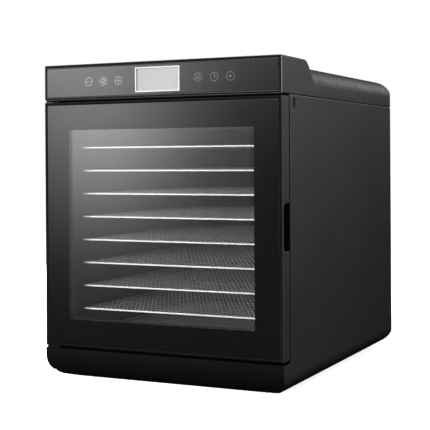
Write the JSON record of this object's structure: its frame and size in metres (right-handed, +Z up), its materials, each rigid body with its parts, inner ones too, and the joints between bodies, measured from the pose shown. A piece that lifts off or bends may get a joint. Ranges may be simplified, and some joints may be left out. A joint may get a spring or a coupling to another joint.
{
  "type": "food dehydrator",
  "caption": "Front-loading counter-top food dehydrator: side-hinged glass door, sliding wire trays, rear fan and heater, raised touch-control housing.",
  "frame": {"origin": "middle of the footprint on the surface the feet stand on", "axes": "+X to the right seen from the front, +Y towards the back, +Z up"},
  "size_m": [0.34, 0.46, 0.419],
  "materials": {
    "side_plastic": "satin charcoal moulded plastic",
    "black_plastic": "satin black moulded plastic",
    "inner_plastic": "matt dark liner",
    "panel_glass": "high gloss black",
    "window_glass": "toughened glass with a black painted border",
    "display_face": "light grey display",
    "chrome_wire": "bright plated wire",
    "steel": "plain sheet steel",
    "motor_metal": "zinc plated can",
    "rubber": "matt black",
    "circuit_board": "green solder mask",
    "white_plastic": "natural nylon",
    "magnet": "dark ferrite"
  },
  "bodies": {
    "cabinet": {"side_panel_left": "side_plastic", "side_panel_right": "side_plastic", "top_cover": "side_plastic", "base_pan": "black_plastic", "base_front": "black_plastic", "rear_panel": "black_plastic", "front_frame": "inner_plastic", "chamber_liner_left": "inner_plastic", "chamber_liner_right": "inner_plastic", "chamber_ceiling": "inner_plastic", "rear_grille": "inner_plastic", "control_panel_glass": "panel_glass", "display_module": "display_face", "chamber_floor": "steel", "motor_bracket": "steel", "heater_element": "steel", "temperature_sensor": "steel", "hinge_pin_upper": "steel", "hinge_pin_lower": "steel", "rear_panel_screw_1": "steel", "rear_panel_screw_2": "steel", "rear_panel_screw_3": "steel", "rear_panel_screw_4": "steel", "rear_panel_screw_5": "steel", "rear_panel_screw_6": "steel", "motor": "motor_metal", "foot_front_left": "rubber", "foot_front_right": "rubber", "foot_rear_left": "rubber", "foot_rear_right": "rubber", "cord_gland": "rubber", "control_board": "circuit_board", "power_board": "circuit_board", "thermal_cutout": "white_plastic", "hinge_washer": "white_plastic", "catch_magnet_upper": "magnet", "catch_magnet_lower": "magnet"},
    "door": {"door_frame": "black_plastic", "door_glass": "window_glass", "door_gasket": "rubber", "strike_plate_upper": "steel", "strike_plate_lower": "steel"},
    "fan": {"fan_impeller": "black_plastic", "motor_shaft": "steel"},
    "tray_01": {"tray_01": "chrome_wire"},
    "tray_02": {"tray_02": "chrome_wire"},
    "tray_03": {"tray_03": "chrome_wire"},
    "tray_04": {"tray_04": "chrome_wire"},
    "tray_05": {"tray_05": "chrome_wire"},
    "tray_06": {"tray_06": "chrome_wire"},
    "tray_07": {"tray_07": "chrome_wire"},
    "tray_08": {"tray_08": "chrome_wire"},
    "tray_09": {"tray_09": "chrome_wire"},
    "tray_10": {"tray_10": "chrome_wire"},
    "drip_tray": {"drip_tray": "steel"}
  },
  "joints": [
    {"name": "door_hinge", "type": "hinge", "parent": "cabinet", "child": "door", "pos_m": [-0.1615, -0.2187, 0.209], "axis": [0, 0, -1], "range_deg": [0, 165]},
    {"name": "fan_spin", "type": "hinge", "parent": "cabinet", "child": "fan", "pos_m": [0, 0.18, 0.21], "axis": [0, 1, 0], "continuous": true},
    {"name": "tray_01_slide", "type": "slide", "parent": "cabinet", "child": "tray_01", "axis": [0, -1, 0], "range_m": [0, 0.15]},
    {"name": "tray_02_slide", "type": "slide", "parent": "cabinet", "child": "tray_02", "axis": [0, -1, 0], "range_m": [0, 0.15]},
    {"name": "tray_03_slide", "type": "slide", "parent": "cabinet", "child": "tray_03", "axis": [0, -1, 0], "range_m": [0, 0.15]},
    {"name": "tray_04_slide", "type": "slide", "parent": "cabinet", "child": "tray_04", "axis": [0, -1, 0], "range_m": [0, 0.15]},
    {"name": "tray_05_slide", "type": "slide", "parent": "cabinet", "child": "tray_05", "axis": [0, -1, 0], "range_m": [0, 0.15]},
    {"name": "tray_06_slide", "type": "slide", "parent": "cabinet", "child": "tray_06", "axis": [0, -1, 0], "range_m": [0, 0.15]},
    {"name": "tray_07_slide", "type": "slide", "parent": "cabinet", "child": "tray_07", "axis": [0, -1, 0], "range_m": [0, 0.15]},
    {"name": "tray_08_slide", "type": "slide", "parent": "cabinet", "child": "tray_08", "axis": [0, -1, 0], "range_m": [0, 0.15]},
    {"name": "tray_09_slide", "type": "slide", "parent": "cabinet", "child": "tray_09", "axis": [0, -1, 0], "range_m": [0, 0.15]},
    {"name": "tray_10_slide", "type": "slide", "parent": "cabinet", "child": "tray_10", "axis": [0, -1, 0], "range_m": [0, 0.15]},
    {"name": "drip_tray_slide", "type": "slide", "parent": "cabinet", "child": "drip_tray", "axis": [0, -1, 0], "range_m": [0, 0.15]}
  ],
  "couplings": [
    {"joint": "tray_01_slide", "follows": "door_hinge", "m_per_rad": 0.05},
    {"joint": "tray_02_slide", "follows": "door_hinge", "m_per_rad": 0.05},
    {"joint": "tray_03_slide", "follows": "door_hinge", "m_per_rad": 0.05},
    {"joint": "tray_04_slide", "follows": "door_hinge", "m_per_rad": 0.05},
    {"joint": "tray_05_slide", "follows": "door_hinge", "m_per_rad": 0.05},
    {"joint": "tray_06_slide", "follows": "door_hinge", "m_per_rad": 0.05},
    {"joint": "tray_07_slide", "follows": "door_hinge", "m_per_rad": 0.05},
    {"joint": "tray_08_slide", "follows": "door_hinge", "m_per_rad": 0.05},
    {"joint": "tray_09_slide", "follows": "door_hinge", "m_per_rad": 0.05},
    {"joint": "tray_10_slide", "follows": "door_hinge", "m_per_rad": 0.05},
    {"joint": "drip_tray_slide", "follows": "door_hinge", "m_per_rad": 0.05}
  ]
}
